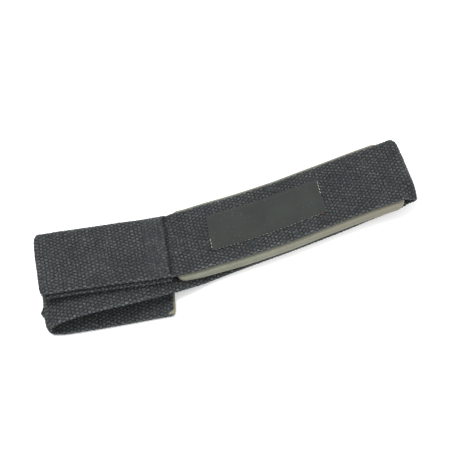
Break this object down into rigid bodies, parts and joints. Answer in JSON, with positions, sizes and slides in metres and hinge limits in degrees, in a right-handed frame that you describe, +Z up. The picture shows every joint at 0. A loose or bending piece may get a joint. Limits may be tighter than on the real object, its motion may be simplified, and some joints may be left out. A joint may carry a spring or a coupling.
{
  "type": "padded weightlifting strap",
  "caption": "Thick cotton webbing strap with a sewn loop, a grey foam wrist pad and a bare woven label, folded flat in layers.",
  "frame": {"origin": "centre of the folded strap in plan, on the surface that it lies on", "axes": "+X along the strap towards the padded fold, +Y away from the side where the folded tail sticks out, +Z up"},
  "size_m": [0.2254, 0.0738, 0.0176],
  "materials": {
    "webbing": "coarse plain-woven cotton webbing, charcoal grey, matt, with a faint fuzz",
    "pad_foam": "grey foam rubber faced with fine knitted cloth, matt",
    "label_cloth": "smooth dark grey woven label cloth, bare, with a soft sheen"
  },
  "bodies": {
    "root": {"webbing": "webbing", "wrist_pad": "pad_foam", "label": "label_cloth"}
  },
  "joints": []
}
